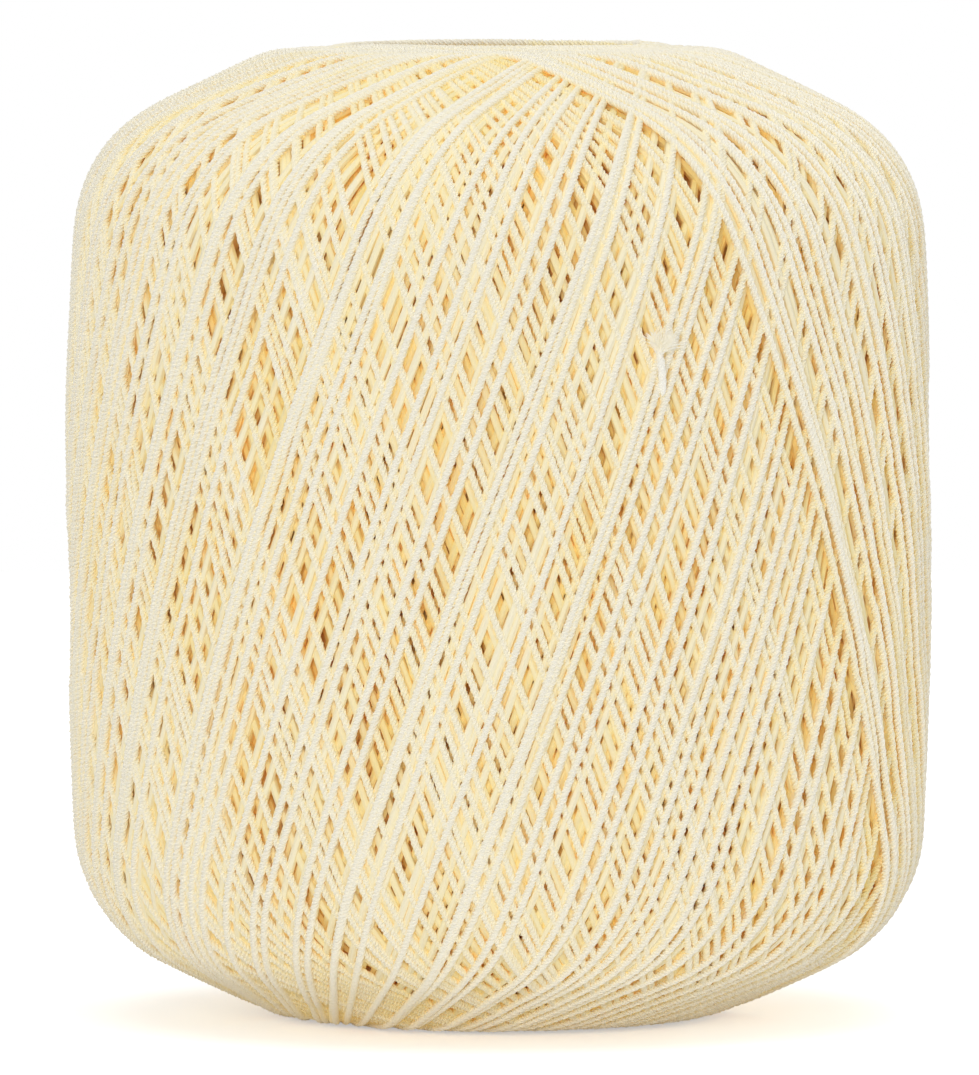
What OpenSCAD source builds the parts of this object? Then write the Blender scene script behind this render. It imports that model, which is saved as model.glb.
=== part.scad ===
// Ball of crochet thread, cross-wound on a short spiral-wound paper tube.
// Frame: +Z runs up the tube's axis, and the origin is the middle of the base it stands on.
// The winding turns over close to the tube, so each end has a flat rim and, inside it,
// a shallow crater with the tube's end in it. Lengths are millimetres, angles degrees.

/* [Ball] */
// Diameter of the ball at its middle
ball_d = 64; // [50:1:90]
// Height of the ball over the two rims
ball_h = 72; // [60:1:100]
// Radius of the gentle bulge down the side
side_r = 400; // [200:10:900]
// Radius of the round shoulder
shoulder_r = 11; // [6:0.5:14]
// Slope of each end, from the shoulder up to the rim
dome_angle = 24; // [12:1:32]

/* [Rims and craters] */
// Radius of the middle of the flat rim that the ball stands on
rim_r = 14; // [13.2:0.1:16]
// Width of the flat rim
rim_flat = 4; // [2:0.1:5]
// Slope of the crater's wall, from the rim down to the tube
crater_angle = 50; // [35:1:60]

/* [Paper tube] */
// Diameter of the tube's bore
bore_d = 18; // [14:0.5:19]
// Thickness of each of the tube's two paper plies
ply_t = 0.75; // [0.4:0.05:0.9]
// How far each end of the tube stands out of the crater's floor
tube_stand = 0.8; // [0.3:0.1:1.2]

/* [Winding stages] */
// Share of the wound thickness that the first stage fills
base_share = 0.35; // [0.2:0.05:0.5]
// Share of the wound thickness that is filled before the last, open wraps go on
body_share = 0.85; // [0.6:0.05:0.9]

/* [Loose end] */
// Direction of the thread's frayed outer end round the ball, from +X
end_azimuth = -69; // [-180:1:180]
// Height of the frayed end above the base
end_z = 51; // [25:1:55]
// Radius of the frayed tuft
tuft_r = 1.6; // [1:0.1:2.5]
// How far the tuft stands out of the side
tuft_t = 0.6; // [0.3:0.1:1]

/* [Hidden] */
$fn = 96;
ply_r = bore_d / 2 + ply_t;
tube_r = ply_r + ply_t;
mid_z = ball_h / 2;
crater_depth = (rim_r - rim_flat / 2 - tube_r) * tan(crater_angle);
tube_z = crater_depth - tube_stand;
tube_h = ball_h - 2 * tube_z;
arc_steps = 8;

// Points of an arc round centre c, from angle a0 to angle a1
function arc(c, r, a0, a1, steps = arc_steps) =
    [for (i = [0:steps]) let (a = a0 + (a1 - a0) * i / steps) c + r * [cos(a), sin(a)]];

// Upper half of a wound outline of radius r and half height h, from its middle to its
// crest: bulging side, round shoulder, then a straight slope up to the crest at crest_r.
function half_outline(r, h, crest_r, round_r) =
    let (normal = 90 - dome_angle,
         fall = (r - round_r + round_r * cos(normal) - crest_r) * tan(dome_angle),
         drop = fall + round_r * sin(normal),
         cz = h - drop,
         cx = r - side_r + sqrt(pow(side_r - round_r, 2) - cz * cz),
         tilt = asin(cz / (side_r - round_r)))
    concat(arc([r - side_r, 0], side_r, 0, tilt),
           arc([cx, cz], round_r, tilt + 1, normal),
           [[crest_r, h]]);

// The same outline for a share of the wound thickness, with its crest on the crater's slope
function stage(share) =
    let (flat_in = rim_r - rim_flat / 2,
         crest = share < 1 ? tube_r + share * (flat_in - tube_r) : rim_r + rim_flat / 2,
         r = tube_r + share * (ball_d / 2 - tube_r),
         h = mid_z - (1 - min(share, 1)) * crater_depth,
         round_r = shoulder_r * (0.35 + 0.65 * share),
         upper = half_outline(r, h, crest, round_r))
    share < 1 ? upper : concat(upper, [[flat_in, mid_z]]);

// A half outline with its mirror image below it, from the lower crest to the upper one
function whole(half) =
    concat([for (i = [len(half) - 1:-1:1]) [half[i][0], -half[i][1]]], half);

function reversed(list) = [for (i = [len(list) - 1:-1:0]) list[i]];

// A solid of revolution from an outline whose heights are counted from mid-height
module spun(points) {
    translate([0, 0, mid_z])
        rotate_extrude()
            polygon(points);
}

// One wound stage: outside the outline of one share and inside the outline of the next
module wound(inner_share, outer_share) {
    inner = inner_share > 0 ? reversed(whole(stage(inner_share)))
                            : [[tube_r, mid_z - crater_depth], [tube_r, crater_depth - mid_z]];
    spun(concat(whole(stage(outer_share)), inner));
}

// One paper ply of the tube
module ply(r_in, r_out) {
    translate([0, 0, tube_z])
        difference() {
            cylinder(h = tube_h, r = r_out);
            translate([0, 0, -1]) cylinder(h = tube_h + 2, r = r_in);
        }
}

module core_inner_ply() {
    color("tan") ply(bore_d / 2, ply_r);
}

module core_outer_ply() {
    color("burlywood") ply(ply_r, tube_r);
}

module winding_base() {
    color("wheat") wound(0, base_share);
}

module winding_body() {
    color("cornsilk") wound(base_share, body_share);
}

module winding_outer() {
    color("oldlace") wound(body_share, 1);
}

// Frayed tip of the thread's outer end: a low round cap whose flat lies on the ball's side
module thread_end() {
    cap_r = (tuft_r * tuft_r + tuft_t * tuft_t) / (2 * tuft_t);
    side_x = ball_d / 2 - side_r + sqrt(side_r * side_r - pow(end_z - mid_z, 2));
    color("ivory")
        rotate([0, 0, end_azimuth])
            translate([side_x, 0, end_z])
                rotate([0, 90, 0])
                    rotate_extrude()
                        intersection() {
                            translate([0, tuft_t - cap_r]) circle(r = cap_r);
                            square([tuft_r, tuft_t]);
                        }
}

core_inner_ply();
core_outer_ply();
winding_base();
winding_body();
winding_outer();
thread_end();
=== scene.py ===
import math

import bpy
import numpy as np
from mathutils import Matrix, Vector


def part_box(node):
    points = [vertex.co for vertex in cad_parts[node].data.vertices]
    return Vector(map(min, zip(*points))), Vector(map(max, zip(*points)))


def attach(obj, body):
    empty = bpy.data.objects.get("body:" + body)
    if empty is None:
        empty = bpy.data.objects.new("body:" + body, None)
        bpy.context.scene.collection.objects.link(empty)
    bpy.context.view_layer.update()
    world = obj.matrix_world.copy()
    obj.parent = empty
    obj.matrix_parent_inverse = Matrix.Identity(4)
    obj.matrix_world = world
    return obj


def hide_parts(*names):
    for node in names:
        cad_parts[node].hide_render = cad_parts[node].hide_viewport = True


# Ball of crochet thread. The winding is laid loop by loop on the CAD outline, in the order a
# winder lays it, and each group of loops becomes one tube of thread.
# The winding is worked out in millimetres, and meshes are made in metres. A length below is in
# millimetres unless its comment says otherwise, and s is a place along the outline.
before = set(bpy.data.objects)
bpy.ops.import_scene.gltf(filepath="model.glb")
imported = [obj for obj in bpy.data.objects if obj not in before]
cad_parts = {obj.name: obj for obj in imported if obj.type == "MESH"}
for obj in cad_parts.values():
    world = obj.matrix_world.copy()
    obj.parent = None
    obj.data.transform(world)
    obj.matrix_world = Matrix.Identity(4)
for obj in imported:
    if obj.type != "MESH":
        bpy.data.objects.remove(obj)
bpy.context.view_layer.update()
rng = np.random.default_rng(7)
MM = 0.001                # one millimetre, in metres

# ---- thread -------------------------------------------------------------------------------
THREAD_R = 0.300          # radius of the thread
CREST = 1.06              # radius of a tube at the crests of its plies, as a share of THREAD_R
PLIES = 3
LAY = 2.2                 # length of one full twist of the plies
GROOVE = 0.12             # depth of the groove between plies, as a share of the tube's radius
TAPER = 0.6               # length over which the ends of a tube narrow
PRESSED = 0.115           # half of what one wrap adds to the thickness on the side
PRESSED_LEAST = 0.22      # the least share of that, where wraps crowd together round the tube

# ---- outline ------------------------------------------------------------------------------
PIVOT_R = 0.02            # radius, in metres, of the point that the rays aim at
RAY_START = 0.1           # how far from that point a ray starts, in metres
RAY_SWING, RAYS = 105.2, 1601   # degrees up and down that the rays swing, which reaches into the craters
OUTLINE_STEP = 0.05
OUTLINE_SMOOTHING = 15    # samples
LOWER_END = 400           # samples of the outline, from the lower crater outwards, where a loop may turn
RIM_SLOPE, RIM_BLEND = 0.90, 0.08   # how level the outline is at a flat rim, and how softly that begins

# ---- winding ------------------------------------------------------------------------------
CYCLES = 5                # passes round the ball; the first is the floor under the others
NEWEST = math.radians(-130.2)   # where the last loop turns at the top
REACH = (11.4, 12.0)      # radius at which loops turn round the tube
REACH_MARGIN, REACH_COUNT = 0.1, 9   # geodesics are worked out for REACH_COUNT radii, to this far past REACH
SPREAD = 2.0              # how far crowded turns slide outwards
SLIDES, SLIDE_SPARE = 7, 0.3    # slides that are tried at each turn, and how much they vary
SLIDE_COST = 0.02         # extra height that keeps a turn from sliding 1 mm further
SLIDE_LENGTH = 3.0        # how far from its turn a loop is moved by a slide
NEAR_TURN = slice(-60, None, 4)   # samples of a path where crowding counts
REST_Z = 0.01             # least height of the wraps, which are flattened where the ball stands on them
WANDER = 0.10             # how far a strand strays sideways
WAVES = (1.3, 2.9, 5.1)   # waves of that stray in one half circuit
STEADY = 12               # a strand strays less over the first and last twelfth of a half circuit
GROWTH = 0.42             # how much one cycle adds to the ball's radius
LOOSE, PACKED = 0.32, 0.22  # wraps that stand out more than LOOSE are pressed, to LOOSE + PACKED at most
SPAN = 8                  # samples over which a taut strand bridges a hollow
JOIN, JOIN_STEP = 2.0, 0.18     # length over which a strand leaves its last height, and about a sample's
LAID_AT = (-0.21, -0.105, 0.0, 0.105, 0.21)   # sideways places where a strand raises the field
FELT_AT = (-0.16, 0, 0.16)      # sideways places where a strand rests on the field
# Bands of the last pass, newest first: degrees round the ball and strands in the band.
BANDS = [
    (0, 4), (8, 3), (13, 2), (20, 3), (27, 2), (34, 3), (44, 2), (51, 3), (58, 3), (65, 2),
    (73, 3), (81, 4), (95, 3), (100, 2), (106, 1), (112, 2), (119, 2), (126, 3), (135, 1),
    (142, 3), (148, 2), (156, 2), (163, 2), (169, 2), (174, 2), (180, 1), (186, 2), (193, 1),
    (199, 2), (206, 1), (212, 2), (218, 1), (224, 2), (230, 1),
]
OLD_FROM, OLD_PITCH = 235, 3.3  # all that is older is single and paired strands, this many degrees apart
OLD_STRAY, OLD_PAIRS = 0.9, 0.42   # degrees that their pitch varies by, and the share of pairs
PASS_END = 356            # degrees at which a pass ends
END_GAP = 3.0             # degrees to the loops that would come before the first and after the last
STRAND_PITCH = (0.98, 1.10)     # degrees between the strands of a band

# ---- sampling -----------------------------------------------------------------------------
PATH_POINTS = 700         # samples of a half circuit
PATH_STEP = 0.05          # step in which a geodesic is followed
FIELD_T, FIELD_S = 900, 480     # cells of the height field, round the ball and along the outline
FLUSH_SMOOTHING, TOP_SMOOTHING = 4, 5   # cells
SIDE_SHARE, RIM_SHARE = 90, 99.8   # percent of its heights that end up inside the outline, on sides and rims
LOCAL_REACH = 6           # cells over which the local top is the highest strand
CROWDED_LEAST = 0.45      # least share that the painted-shade depth of crowded strands is divided by, which darkens them
RING_STEP = {1: 1.2, 2: 1.2, 3: 0.6, 4: 0.28}   # length between a tube's rings, for each cycle
RING_SIDES = {1: 6, 2: 6, 3: 7, 4: 6}
TWISTED_FROM = 4          # older cycles are too deep for their plies to show
LOOPS_PER_PIECE = 12
COARSE_UNDER, COARSE_LOOPS = 3, 3   # cycles under this one have this many times as many loops in a piece
COLUMNS, ROWS = 360, 180  # grid of the inner winding
RIM_ROWS = 12             # its rows that lie in the craters
INNER_SHADE_DEPTH, RIM_SHADE_DEPTH = 2.0, 0.5   # depths of painted shade that its colour is taken at, on the sides and in the craters

# ---- turns of thread round the tube, in the craters ---------------------------------------
TURNS_UNDER = 0.4         # how far under the outline's inner end they lie
TURNS_PITCH = 1.8         # how far each lies outside the one before, in thread radii
TURNS_RISE = 0.25         # how much each lies further out of the crater, and how deep the first is, in radii
TURNS_SHADE_DEPTH = 0.15        # depth of painted shade that their colour is taken at
TURNS_STEP, TURNS_SIDES = 0.25, 9
TURN_SAMPLES = 90         # samples of each turn

# ---- free end -----------------------------------------------------------------------------
FIBRES, FIBRE_R = 400, 0.040
FIBRE_RINGS = 7
FIBRE_SIDES = (0.5, 2.6, 4.7)   # angles of a fibre's three corners, in radians
FIBRE_SPREAD = 0.17       # how far a fibre's direction strays from its arm's
# Arms of the tuft: how far each goes right, up and out, and its length.
TUFT_ARMS = [(-0.45, 1.0, 0.30, 1.6), (0.75, 0.95, 0.40, 1.75), (0.1, 0.7, 0.6, 1.0)]
TUFT_UNDER, TUFT_OUT = 0.2, 0.62   # the arms' root: below the CAD node's middle, and outside the outline
STEM_UP, STEM_IN, STEM_ASIDE = 3.2, 0.75, 0.5   # how far the stem comes up, out and across to that root
STEM_POINTS, STEM_STEP, STEM_SIDES = 12, 0.2, 9


def smoothed(values, sigma):
    """values along a line, smoothed by a Gaussian of sigma samples, keeping the slope at both ends."""
    n = int(4 * sigma)
    kernel = np.exp(-0.5 * (np.arange(-n, n + 1) / sigma) ** 2)
    before = 2 * values[0] - values[n:0:-1]
    after = 2 * values[-1] - values[-2:-n - 2:-1]
    return np.convolve(np.r_[before, values, after], kernel / kernel.sum(), "valid")


def outline():
    """Length along the wound outline, from the lower crater up to the upper one, its radius and height."""
    windings = [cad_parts[n] for n in ("winding_base", "winding_body", "winding_outer")]
    low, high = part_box("winding_outer")
    pivot = Vector((PIVOT_R, 0, (low.z + high.z) / 2))
    limit = math.radians(RAY_SWING)
    points = []
    for angle in np.linspace(-limit, limit, RAYS):
        out = Vector((math.cos(angle), 0, math.sin(angle)))
        hits = [o.ray_cast(pivot + out * RAY_START, -out) for o in windings]
        far = max((h[1] for h in hits if h[0]), key=lambda p: (p - pivot).length)
        points.append((math.hypot(far.x, far.y) / MM, far.z / MM))
    points = np.array(points)
    along = np.r_[0, np.cumsum(np.hypot(*np.diff(points, axis=0).T))]
    even = np.arange(0, along[-1], OUTLINE_STEP)
    r = smoothed(np.interp(even, along, points[:, 0]), OUTLINE_SMOOTHING)
    z = smoothed(np.interp(even, along, points[:, 1]), OUTLINE_SMOOTHING)
    return np.r_[0, np.cumsum(np.hypot(np.diff(r), np.diff(z)))], r, z


S, R, Z = outline()
R_SLOPE, Z_SLOPE = np.gradient(R, S), np.gradient(Z, S)


def geodesics(reaches):
    """Half circuits that turn at each reach: their places and shares of their turn, at even steps."""
    step = PATH_STEP
    x = np.array([np.interp(c, R[:LOWER_END], S[:LOWER_END]) for c in reaches])
    c, v, turn = np.array(reaches), np.zeros(len(reaches)), np.zeros(len(reaches))

    def push(q):
        return c * c * np.interp(q, S, R_SLOPE) / np.interp(q, S, R) ** 3

    places, turns = [x], [turn]
    while x.min() < S[-1] / 2:
        v_half = v + push(x) * step / 2
        half_way = x + v_half * step / 2
        turn = turn + c / np.interp(half_way, S, R) ** 2 * step
        x = x + v_half * step
        v = v_half + push(x) * step / 2
        places.append(x)
        turns.append(turn)
    places, turns = np.array(places), np.array(turns)
    t = np.linspace(0, 1, PATH_POINTS)
    out_s, out_t = [], []
    for i in range(len(reaches)):
        end = np.interp(S[-1] / 2, places[:, i], np.arange(len(places)))
        steps = t[t <= 0.5] * 2 * end
        s = np.interp(steps, np.arange(len(places)), places[:, i])
        a = np.interp(steps, np.arange(len(places)), turns[:, i])
        full = 2 * np.interp(end, np.arange(len(places)), turns[:, i])
        out_s.append(np.r_[s, S[-1] - s[::-1]])
        out_t.append(np.r_[a, full - a[::-1]] / full)
    return np.array(out_s), np.array(out_t)


REACHES = np.linspace(REACH[0] - REACH_MARGIN, REACH[1] + REACH_MARGIN, REACH_COUNT)
PATHS_S, PATHS_T = geodesics(REACHES)


def geodesic(reach):
    """A half circuit that turns at this reach, between the two nearest that were worked out."""
    at = np.interp(reach, REACHES, np.arange(len(REACHES)))
    i = min(int(at), len(REACHES) - 2)
    w = at - i
    return PATHS_S[i] * (1 - w) + PATHS_S[i + 1] * w, PATHS_T[i] * (1 - w) + PATHS_T[i + 1] * w


def loop_angles():
    """Where each loop turns at the top, in degrees back from the newest, and its cycle. Oldest loop first."""
    angles = []
    for cycle in range(CYCLES):
        back = 360.0 * cycle
        bands = list(BANDS) if cycle == 0 else []
        at = OLD_FROM if cycle == 0 else 1.0
        while at < PASS_END:
            bands.append((at, 1 + (rng.random() < OLD_PAIRS)))
            at += OLD_PITCH + rng.uniform(-OLD_STRAY, OLD_STRAY)
        for angle, strands in bands:
            for i in range(strands):
                angles.append((back + angle + i * rng.uniform(*STRAND_PITCH), CYCLES - 1 - cycle))
    return sorted(angles, reverse=True)


def wander(t):
    """A slow sideways drift along a half circuit."""
    phases = rng.uniform(0, 2 * math.pi, 3)
    return sum(np.sin(2 * math.pi * t * f + p) / f for f, p in zip(WAVES, phases))


def half_circuits():
    """Each half circuit in the order it is wound.

    They are its two reaches, the turn at its start, its whole turn, whether it goes up, and its cycle.
    """
    loops = loop_angles()
    reach, made = rng.uniform(*REACH), []
    for k, (angle, cycle) in enumerate(loops):
        top = NEWEST + math.radians(angle)
        before = loops[k - 1][0] - angle if k else END_GAP
        after = angle - loops[k + 1][0] if k + 1 < len(loops) else END_GAP
        for up, gap in ((True, before), (False, after)):
            next_reach = rng.uniform(*REACH)
            whole = math.radians(360 - gap) / 2
            made.append((reach, next_reach, top - whole if up else top, whole, up, cycle))
            reach = next_reach
    return made


T = np.linspace(0, 1, PATH_POINTS)
EASE = T * T * (3 - 2 * T)


def path(reach, next_reach, start, whole, up, drift, slide, next_slide):
    """A half circuit's turns and places. Its ends slide off the tube by the two slides."""
    (s_1, t_1), (s_2, t_2) = geodesic(reach), geodesic(next_reach)
    s, turn = s_1 + (s_2 - s_1) * EASE, t_1 + (t_2 - t_1) * EASE
    s = (s + slide * np.exp(-((s - s[0]) / SLIDE_LENGTH) ** 2)
         - next_slide * np.exp(-((s - s[-1]) / SLIDE_LENGTH) ** 2))
    s = s if up else S[-1] - s
    return start + whole * turn + drift / np.interp(s, S, R), s


def cells(theta, s):
    """The field's cells at these places."""
    i = np.floor(theta / (2 * math.pi) * FIELD_T).astype(int) % FIELD_T
    j = np.clip(np.rint(s / S[-1] * (FIELD_S - 1)).astype(int), 0, FIELD_S - 1)
    return i, j


def across(theta, s):
    """Unit step sideways from a path, as a turn and a place along the outline."""
    r = np.interp(s, S, R)
    a, b = np.gradient(theta) * r, np.gradient(s)
    length = np.hypot(a, b)
    return b / length / r, -a / length


def spread_max(values, reach):
    """Each value's largest neighbour within reach samples."""
    out = values.copy()
    for k in range(1, reach + 1):
        out[k:] = np.maximum(out[k:], values[:-k])
        out[:-k] = np.maximum(out[:-k], values[k:])
    return out


def pressed(s):
    """Half of what a wrap adds to the thickness: less towards the tube, where wraps crowd together."""
    r = np.interp(s, S, R)
    room = np.sqrt(np.maximum(r * r - REACH[1] ** 2, 0) / (R.max() ** 2 - REACH[1] ** 2))
    return PRESSED * np.maximum(room, PRESSED_LEAST)


def deposit(field, theta, s, height):
    """Raises the field to the top of a strand."""
    side_t, side_s = across(theta, s)
    half = pressed(s)
    for w in LAID_AT:
        i, j = cells(theta + w * side_t, s + w * side_s)
        top = height + half * math.sqrt(1 - (w / THREAD_R) ** 2)
        field[i, j] = np.maximum(field[i, j], top)


def lowest_slide(field, half, drift, slide):
    """Of the ways a turn may slide off the tube, the one over the least crowded place."""
    def crowd(next_slide):
        theta, s = path(*half[:5], drift, slide, next_slide)
        there = field[cells(theta[NEAR_TURN], s[NEAR_TURN])]
        back = field[cells(2 * theta[-1] - theta[NEAR_TURN], s[NEAR_TURN])]
        return there.mean() + back.mean() + SLIDE_COST * next_slide

    return min(np.linspace(0, SPREAD, SLIDES) + rng.uniform(0, SLIDE_SPARE), key=crowd)


def wind():
    """Lays every half circuit on those before it.

    Returns them with their heights, and the field after the first cycle and at the end.
    """
    halves = half_circuits()
    field = np.zeros((FIELD_T, FIELD_S))
    laid, floor, waiting, end_height, slide = [], None, None, 0.0, 0.0
    ends = np.minimum(1, np.minimum(T, 1 - T) * STEADY)
    for k, half in enumerate(halves):
        cycle = half[5]
        if cycle > 0 and floor is None:
            floor = field.copy()
        drift = WANDER * wander(T) * ends
        next_slide = lowest_slide(field, half, drift, slide)
        theta, s = path(*half[:5], drift, slide, next_slide)
        slide = next_slide
        even = GROWTH * CYCLES * k / len(halves)
        side_t, side_s = across(theta, s)
        support = np.max([field[cells(theta + w * side_t, s + w * side_s)] for w in FELT_AT], axis=0)
        over = smoothed(spread_max(support - even, SPAN), SPAN / 2)
        over = np.where(over > LOOSE, LOOSE + PACKED * (1 - np.exp((LOOSE - over) / PACKED)), over)
        height = even + over + pressed(s)
        if k:
            height += (end_height - height[0]) * np.exp(-np.arange(PATH_POINTS) * JOIN_STEP / JOIN)
        end_height = height[-1]
        if waiting is not None:
            deposit(field, *waiting)
        waiting = (theta, s, height)
        laid.append((theta, s, height, cycle))
    deposit(field, *waiting)
    return laid, floor, field


def points_at(theta, s, rise):
    """Points at a rise over the outline, with the outward directions there."""
    r, z = np.interp(s, S, R), np.interp(s, S, Z)
    n_r, n_z = np.interp(s, S, Z_SLOPE), -np.interp(s, S, R_SLOPE)
    length = np.hypot(n_r, n_z)
    n_r, n_z = n_r / length, n_z / length
    c, sn = np.cos(theta), np.sin(theta)
    place = np.stack([(r + rise * n_r) * c, (r + rise * n_r) * sn, z + rise * n_z], 1)
    return place, np.stack([n_r * c, n_r * sn, n_z], 1)


def widest(field, reach):
    """The field with each cell at the height of its highest neighbour."""
    out = field.copy()
    for k in range(1, reach + 1):
        out = np.maximum(out, np.maximum(np.roll(field, k, 0), np.roll(field, -k, 0)))
    rows = out.copy()
    for k in range(1, reach + 1):
        rows[:, k:] = np.maximum(rows[:, k:], out[:, :-k])
        rows[:, :-k] = np.maximum(rows[:, :-k], out[:, k:])
    return rows


def mesh_object(name, points, quads, uv=None, depth=None):
    """A flat-shaded mesh of quads, from points in millimetres."""
    mesh = bpy.data.meshes.new(name)
    mesh.vertices.add(len(points))
    mesh.vertices.foreach_set("co", (points * MM).astype(np.float32).ravel())
    mesh.loops.add(quads.size)
    mesh.loops.foreach_set("vertex_index", quads.astype(np.int32).ravel())
    mesh.polygons.add(len(quads))
    mesh.polygons.foreach_set("loop_start", np.arange(0, quads.size, quads.shape[1], dtype=np.int32))
    mesh.update(calc_edges=True)
    mesh.shade_flat()
    if uv is not None:
        mesh.uv_layers.new(name="UVMap").data.foreach_set("uv", uv.astype(np.float32).ravel())
    if depth is not None:
        mesh.attributes.new("depth", "FLOAT", "POINT").data.foreach_set("value", depth.astype(np.float32))
    obj = bpy.data.objects.new(name, mesh)
    bpy.context.scene.collection.objects.link(obj)
    return obj


def tube(line, normal, depth, step, sides, twisted=True):
    """A tube of thread along a line, with narrow ends. If twisted, its plies turn once in every LAY."""
    along = np.r_[0, np.cumsum(np.linalg.norm(np.diff(line, axis=0), axis=1))]
    count = max(8, int(along[-1] / step))
    at = np.linspace(0, along[-1], count)
    line, normal = (np.stack([np.interp(at, along, a[:, i]) for i in range(3)], 1) for a in (line, normal))
    depth = np.interp(at, along, depth)
    tangent = np.gradient(line, axis=0)
    tangent /= np.linalg.norm(tangent, axis=1)[:, None]
    side = np.cross(tangent, normal)
    side /= np.linalg.norm(side, axis=1)[:, None]
    up = np.cross(side, tangent)
    angles = 2 * math.pi * np.arange(sides) / sides
    turned = angles[None, :] + (2 * math.pi * at / LAY)[:, None] * twisted
    lobes = 1 - GROOVE * (1 - np.cos(PLIES * angles)) / 2 * twisted
    end = np.clip(np.minimum(at, along[-1] - at) / TAPER, 0.05, 1) ** 0.5
    radius = THREAD_R * CREST * lobes[None, :] * end[:, None]
    rings = (line[:, None, :] + radius[..., None]
             * (np.cos(turned)[..., None] * up[:, None, :] + np.sin(turned)[..., None] * side[:, None, :]))
    a = np.arange(count - 1)[:, None] * sides + np.arange(sides)[None, :]
    b = np.arange(count - 1)[:, None] * sides + (np.arange(sides)[None, :] + 1) % sides
    quads = np.stack([a, b, b + sides, a + sides], -1).reshape(-1, 4)
    u = np.arange(sides) / sides
    next_u = u + 1 / sides
    v = at / LAY
    corners = ((u, v[:-1]), (next_u, v[:-1]), (next_u, v[1:]), (u, v[1:]))
    uv = np.stack([np.stack(np.broadcast_arrays(across_it, along_it[:, None]), -1)
                   for across_it, along_it in corners], 2)
    # Painted shade on each tube's sides: a point's colour is taken deeper the further it lies round the tube
    # from its top.
    depth = depth[:, None] + THREAD_R * (1 - np.cos(turned))
    return rings.reshape(-1, 3), quads, uv.reshape(-1, 2), depth.ravel()


def rims(s):
    """1 on the flat rims at both ends of the ball, 0 on its sides."""
    return np.clip((np.abs(np.interp(s, S, R_SLOPE)) - RIM_SLOPE) / RIM_BLEND, 0, 1)


laid, floor_field, field = wind()
FIELD_PLACES = np.linspace(0, S[-1], FIELD_S)
FLUSH = smoothed(rims(FIELD_PLACES), FLUSH_SMOOTHING)
SIDE_TOP = np.percentile(field, SIDE_SHARE, axis=0)
RIM_TOP = np.percentile(field, RIM_SHARE, axis=0) + THREAD_R - pressed(FIELD_PLACES)
TOP = smoothed(SIDE_TOP, TOP_SMOOTHING) * (1 - FLUSH) + smoothed(RIM_TOP, TOP_SMOOTHING) * FLUSH
LOCAL_TOP = widest(field, LOCAL_REACH)


def top_at(s):
    """The height in the field that lies on the CAD outline."""
    return np.interp(s / S[-1] * (FIELD_S - 1), np.arange(FIELD_S), TOP)


def wraps():
    """The tubes of the second and later cycles, a group of consecutive loops in each piece."""
    made = []
    for cycle in range(1, CYCLES):
        members = [h for h in laid if h[3] == cycle]
        size = 2 * LOOPS_PER_PIECE * (COARSE_LOOPS if cycle < COARSE_UNDER else 1)
        for i in range(0, len(members), size):
            part = members[i:i + size]
            theta = np.concatenate([h[0][:-1] for h in part])
            s = np.concatenate([h[1][:-1] for h in part])
            height = np.concatenate([h[2][:-1] for h in part])
            line, normal = points_at(theta, s, height - top_at(s))
            # Depth that sets the painted shade, made larger near the tube, where wraps crowd together.
            crowded = np.maximum(pressed(s) / PRESSED, CROWDED_LEAST)
            depth = (LOCAL_TOP[cells(theta, s)] - height - pressed(s)) / crowded
            points, quads, uv, depth = tube(
                line, normal, depth, RING_STEP[cycle], RING_SIDES[cycle], cycle >= TWISTED_FROM)
            points[:, 2] = np.maximum(points[:, 2], REST_Z)
            made.append(mesh_object(f"wraps_{len(made) + 1:02d}", points, quads, uv, depth))
    return made


def inner_winding():
    """The first cycle as one closed surface, shaped by the strands laid in it."""
    s = np.linspace(0, S[-1], ROWS)
    theta = np.arange(COLUMNS) * 2 * math.pi / COLUMNS
    grid_t, grid_s = np.meshgrid(theta, s, indexing="ij")
    height = floor_field[cells(grid_t, grid_s)]
    place, _ = points_at(grid_t.ravel(), grid_s.ravel(), (height - top_at(grid_s)).ravel())
    place = place.reshape(COLUMNS, ROWS, 3)
    core_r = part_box("core_outer_ply")[1].x / MM
    ends = []
    for z in (place[:, -1, 2].max(), place[:, 0, 2].min()):
        ends.append(np.stack([core_r * np.cos(theta), core_r * np.sin(theta), np.full(COLUMNS, z)], 1))
    place = np.concatenate([place, ends[0][:, None], ends[1][:, None]], 1)
    n = ROWS + 2
    a = np.arange(COLUMNS)[:, None] * n + np.arange(n)[None, :]
    up = np.arange(COLUMNS)[:, None] * n + (np.arange(n)[None, :] + 1) % n
    quads = np.stack([a, np.roll(a, -1, 0), np.roll(up, -1, 0), up], -1).reshape(-1, 4)
    # Painted shade: the inner winding has the dark golden colour of the deepest gaps on the sides, and a
    # lighter one in the craters.
    depth = np.full((COLUMNS, n), INNER_SHADE_DEPTH)
    depth[:, -RIM_ROWS:] = depth[:, :RIM_ROWS] = RIM_SHADE_DEPTH
    return mesh_object("inner_winding", place.reshape(-1, 3), quads, None, depth.ravel())


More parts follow.
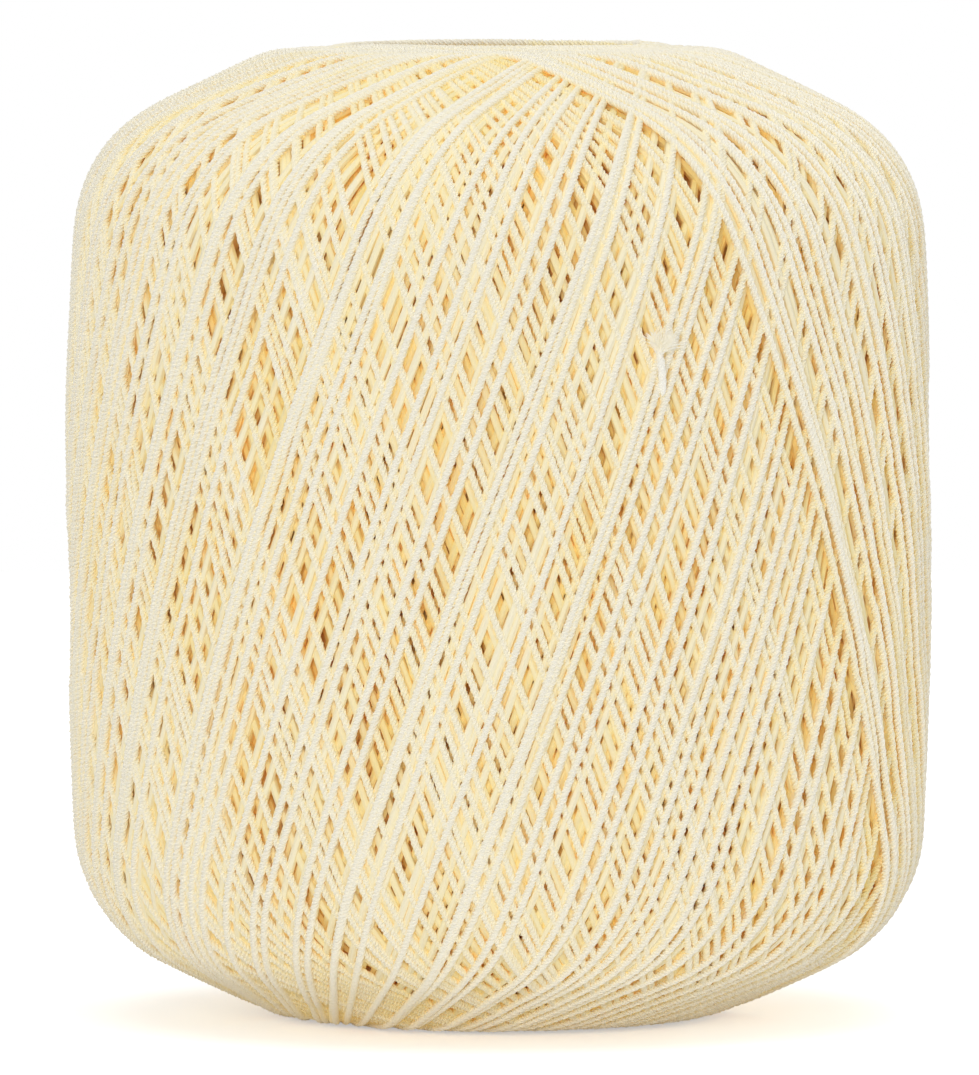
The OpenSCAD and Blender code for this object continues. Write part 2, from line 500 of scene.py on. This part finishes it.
def tube_turns(end):
    """The turns of thread round the tube in the crater at one end: 1 for the top, -1 for the bottom."""
    crater_s = np.array([S[0] if end < 0 else S[-1]])
    crater = points_at(np.zeros(1), crater_s, np.array([-TURNS_UNDER]))[0][0]
    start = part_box("core_outer_ply")[1].x / MM + THREAD_R
    turns = max(2, int((crater[0] - start) / (2 * THREAD_R)) + 2)
    a = np.linspace(0, 2 * math.pi * turns, TURN_SAMPLES * turns)
    out = np.minimum(a / (2 * math.pi), turns - 1)
    r = start + out * TURNS_PITCH * THREAD_R
    z = crater[2] - end * TURNS_RISE * THREAD_R + end * out * TURNS_RISE
    line = np.stack([r * np.cos(a), r * np.sin(a), z], 1)
    normal = np.repeat([[0.0, 0.0, end]], len(a), 0)
    # Their colour has a little painted shade.
    points, quads, uv, depth = tube(line, normal, np.full(len(a), TURNS_SHADE_DEPTH), TURNS_STEP, TURNS_SIDES)
    return mesh_object("tube_turns_top" if end > 0 else "tube_turns_bottom", points, quads, uv, depth)


def frayed_end():
    """The free end: a short stem from under the wraps that opens into three tufts of fine fibres."""
    low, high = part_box("thread_end")
    centre = (low + high) / 2
    theta = math.atan2(centre.y, centre.x)
    place = float(np.interp(centre.z / MM, Z[len(Z) // 4:-len(Z) // 4], S[len(S) // 4:-len(S) // 4]))
    root, out = (v[0] for v in points_at(
        np.array([theta]), np.array([place - TUFT_UNDER]), np.array([TUFT_OUT])))
    right = np.array([-math.sin(theta), math.cos(theta), 0])
    up = np.cross(out, right) * np.sign(np.cross(out, right)[2])
    t = np.linspace(0, 1, STEM_POINTS)[:, None]
    line = (root - up * STEM_UP * (1 - t) - out * STEM_IN * (1 - t) ** 2
            + right * STEM_ASIDE * (1 - t))
    points, quads, _, _ = tube(
        line, np.repeat(out[None], STEM_POINTS, 0), np.zeros(STEM_POINTS), STEM_STEP, STEM_SIDES)
    corners, faces = [points], [quads]
    count = len(points)
    rings, sides = FIBRE_RINGS, len(FIBRE_SIDES)
    draw = np.random.default_rng(11)
    for k in range(FIBRES):
        arm = TUFT_ARMS[k % len(TUFT_ARMS)]
        way = right * arm[0] + up * arm[1] + out * arm[2] + draw.normal(0, FIBRE_SPREAD, 3)
        way /= np.linalg.norm(way)
        curl = np.cross(way, draw.normal(0, 1, 3)) * draw.uniform(0.1, 0.7)
        length = draw.uniform(0.7, 1.0) * arm[3]
        a = np.linspace(0, 1, rings)[:, None]
        hair = root + draw.normal(0, 0.10, 3) + way * a * length + curl * a * a * length * 0.6
        side = np.cross(way, out)
        side /= np.linalg.norm(side)
        over = np.cross(side, way)
        girth = FIBRE_R * (1 - 0.6 * a)
        ring = [hair + girth * (math.cos(b) * side + math.sin(b) * over) for b in FIBRE_SIDES]
        corners.append(np.stack(ring, 1).reshape(-1, 3))
        i = np.arange(rings - 1)[:, None] * sides + np.arange(sides)[None, :]
        j = np.arange(rings - 1)[:, None] * sides + (np.arange(sides)[None, :] + 1) % sides
        faces.append(np.stack([i, j, j + sides, i + sides], -1).reshape(-1, 4) + count)
        count += rings * sides
    return mesh_object("frayed_end", np.concatenate(corners), np.concatenate(faces))


# ---- materials ----------------------------------------------------------------------------
FULL_SHADE_DEPTH = 2.0        # depth at which cotton has the last, darkest colour of its painted shade ramp
PAPER_STRIP = 0.024       # how far the strip of board climbs in one turn, in metres
SEAM_SHARE = 0.008        # half of the seam's width, as a share of the strip
SEAM_SHADE = 0.45         # the seam's colour, as a share of the dark board's


def nodes_of(name):
    """A new material with its node tree and its shader."""
    material = bpy.data.materials.new(name)
    material.use_nodes = True
    tree = material.node_tree
    return material, tree, tree.nodes["Principled BSDF"]


def cotton(name, lit):
    """Cotton thread: the lit colour outside, with painted shade, darker and golden, in the gaps and on the
    sides of strands, by how deep a strand lies.
    """
    material, tree, shader = nodes_of(name)
    new, link = tree.nodes.new, tree.links.new
    depth = new("ShaderNodeAttribute")
    depth.attribute_name = "depth"
    share = new("ShaderNodeMapRange")
    share.inputs["From Max"].default_value = FULL_SHADE_DEPTH
    link(depth.outputs["Fac"], share.inputs["Value"])
    ramp = new("ShaderNodeValToRGB")
    # Painted shade: the deeper a strand lies, the darker and more golden its colour.
    painted_shade_stops = [(0.0, lit), (0.10, (0.965, 0.92, 0.77)), (0.30, (0.978, 0.89, 0.60)),
             (0.60, (0.975, 0.83, 0.37)), (1.0, (0.96, 0.75, 0.24))]
    for element, (position, colour) in zip(ramp.color_ramp.elements, (painted_shade_stops[0], painted_shade_stops[-1])):
        element.position = position
        element.color = (*colour, 1)
    for position, colour in painted_shade_stops[1:-1]:
        ramp.color_ramp.elements.new(position).color = (*colour, 1)
    link(share.outputs["Result"], ramp.inputs["Fac"])
    link(ramp.outputs["Color"], shader.inputs["Base Color"])
    where = new("ShaderNodeTexCoord")
    stretch = new("ShaderNodeMapping")
    stretch.inputs["Scale"].default_value = (14, 5, 1)
    fibres = new("ShaderNodeTexNoise")
    fibres.inputs["Scale"].default_value = 1.0
    fibres.inputs["Detail"].default_value = 3.0
    link(where.outputs["UV"], stretch.inputs["Vector"])
    link(stretch.outputs["Vector"], fibres.inputs["Vector"])
    bump = new("ShaderNodeBump")
    bump.inputs["Strength"].default_value = 0.6
    bump.inputs["Distance"].default_value = 0.00004
    link(fibres.outputs["Fac"], bump.inputs["Height"])
    link(bump.outputs["Normal"], shader.inputs["Normal"])
    shader.inputs["Roughness"].default_value = 0.7
    shader.inputs["Sheen Weight"].default_value = 0.15
    shader.inputs["Specular IOR Level"].default_value = 0.12
    return material


def paper(name, light, dark):
    """Speckled grey-brown board, wound as a strip whose spiral seam shows as a thin dark line."""
    material, tree, shader = nodes_of(name)
    new, link = tree.nodes.new, tree.links.new

    def sums(operation, first, second=None, third=None):
        """A Math node's output, from numbers and sockets."""
        node = new("ShaderNodeMath")
        node.operation = operation
        for socket, value in zip(node.inputs, (first, second, third)):
            if isinstance(value, (int, float)):
                socket.default_value = value
            elif value is not None:
                link(value, socket)
        return node.outputs[0]

    where = new("ShaderNodeTexCoord")
    noise = new("ShaderNodeTexNoise")
    noise.inputs["Scale"].default_value = 900.0
    noise.inputs["Detail"].default_value = 5.0
    link(where.outputs["Object"], noise.inputs["Vector"])
    ramp = new("ShaderNodeValToRGB")
    ramp.color_ramp.elements[0].color = (*dark, 1)
    ramp.color_ramp.elements[1].color = (*light, 1)
    link(noise.outputs["Fac"], ramp.inputs["Fac"])
    axes = new("ShaderNodeSeparateXYZ")
    link(where.outputs["Object"], axes.inputs[0])
    turn = sums("DIVIDE", sums("ARCTAN2", axes.outputs["Y"], axes.outputs["X"]), 2 * math.pi)
    strip = sums("FRACT", sums("ADD", turn, sums("DIVIDE", axes.outputs["Z"], PAPER_STRIP)))
    seam = sums("COMPARE", strip, 0.5, SEAM_SHARE)
    colour = new("ShaderNodeMix")
    colour.data_type = "RGBA"
    colour.inputs[7].default_value = (*(SEAM_SHADE * c for c in dark), 1)
    link(seam, colour.inputs[0])
    link(ramp.outputs["Color"], colour.inputs[6])
    link(colour.outputs[2], shader.inputs["Base Color"])
    bump = new("ShaderNodeBump")
    bump.inputs["Strength"].default_value = 0.4
    bump.inputs["Distance"].default_value = 0.0001
    link(sums("SUBTRACT", noise.outputs["Fac"], seam), bump.inputs["Height"])
    link(bump.outputs["Normal"], shader.inputs["Normal"])
    shader.inputs["Roughness"].default_value = 0.85
    return material


def give(obj, material):
    """Makes material the object's only one."""
    obj.data.materials.clear()
    obj.data.materials.append(material)


thread_cotton = cotton("cotton", (0.955, 0.925, 0.83))
for piece in [inner_winding(), *wraps(), tube_turns(1), tube_turns(-1)]:
    give(piece, thread_cotton)
    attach(piece, "root")
    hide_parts("winding_outer", "winding_body", "winding_base")
give(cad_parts["core_inner_ply"], paper("paper_inner", (0.52, 0.42, 0.30), (0.42, 0.33, 0.22)))
give(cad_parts["core_outer_ply"], paper("paper_outer", (0.60, 0.50, 0.36), (0.50, 0.40, 0.28)))
tuft = frayed_end()
# Painted light: the loose fibres are the same thread, given a lighter copy of the cotton colour to make up
# for the shade among the thin fibres.
give(tuft, cotton("loose_fibres_painted_light", (0.99, 0.97, 0.89)))
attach(tuft, "root")
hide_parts("thread_end")


# ---- stage --------------------------------------------------------------------------------
def seen_by_camera(tree, otherwise, seen):
    """A strength: the number seen for rays straight from the camera, and otherwise for all other rays."""
    way = tree.nodes.new("ShaderNodeLightPath")
    share = tree.nodes.new("ShaderNodeMapRange")
    share.inputs["To Min"].default_value, share.inputs["To Max"].default_value = otherwise, seen
    tree.links.new(way.outputs["Is Camera Ray"], share.inputs["Value"])
    return share.outputs["Result"]


bpy.ops.mesh.primitive_circle_add(vertices=96, radius=0.5, fill_type="NGON")
ground = bpy.context.object
ground.name = "ground"
ground_material, ground_tree, ground_shader = nodes_of("ground")
ground_shader.inputs["Base Color"].default_value = (0.9, 0.9, 0.9, 1)
ground_shader.inputs["Roughness"].default_value = 1.0
ground_shader.inputs["Emission Color"].default_value = (1, 1, 1, 1)
ground_tree.links.new(seen_by_camera(ground_tree, 0.0, 0.45), ground_shader.inputs["Emission Strength"])
give(ground, ground_material)

world = bpy.data.worlds.new("studio")
bpy.context.scene.world = world
world.use_nodes = True
backdrop = world.node_tree.nodes["Background"]
backdrop.inputs["Color"].default_value = (1, 1, 1, 1)
world.node_tree.links.new(seen_by_camera(world.node_tree, 0.45, 1.0), backdrop.inputs["Strength"])


def area_light(name, place, size, power, aim=(0, 0, 0.036)):
    """A round soft light that faces the middle of the ball."""
    light = bpy.data.lights.new(name, "AREA")
    light.shape, light.size, light.energy = "DISK", size, power
    obj = bpy.data.objects.new(name, light)
    obj.location = place
    obj.rotation_mode = "QUATERNION"
    obj.rotation_quaternion = (Vector(aim) - Vector(place)).to_track_quat("-Z", "Y")
    bpy.context.scene.collection.objects.link(obj)


area_light("key", (-0.10, -0.80, 0.18), 0.3, 1.8)
area_light("overhead", (0, -0.1, 1.0), 1.0, 3.5)
area_light("back_right", (0.75, 0.55, 0.30), 0.6, 2.2)
area_light("back_left", (-0.55, 0.75, 0.30), 0.6, 0.9)

camera = bpy.data.objects.new("camera", bpy.data.cameras.new("camera"))
bpy.context.scene.collection.objects.link(camera)
bpy.context.scene.camera = camera
camera.data.lens, camera.data.sensor_width = 452.0, 36.0
camera.location = (0, -1.0, 0.099)
camera.rotation_mode = "QUATERNION"
camera.rotation_quaternion = (Vector((-0.00068, 0, 0.0355)) - camera.location).to_track_quat("-Z", "Y")
camera.data.clip_start, camera.data.clip_end = 0.05, 50
bpy.context.scene.view_settings.view_transform = "Standard"
bpy.context.scene.cycles.max_bounces = 36
bpy.context.scene.cycles.diffuse_bounces = 32
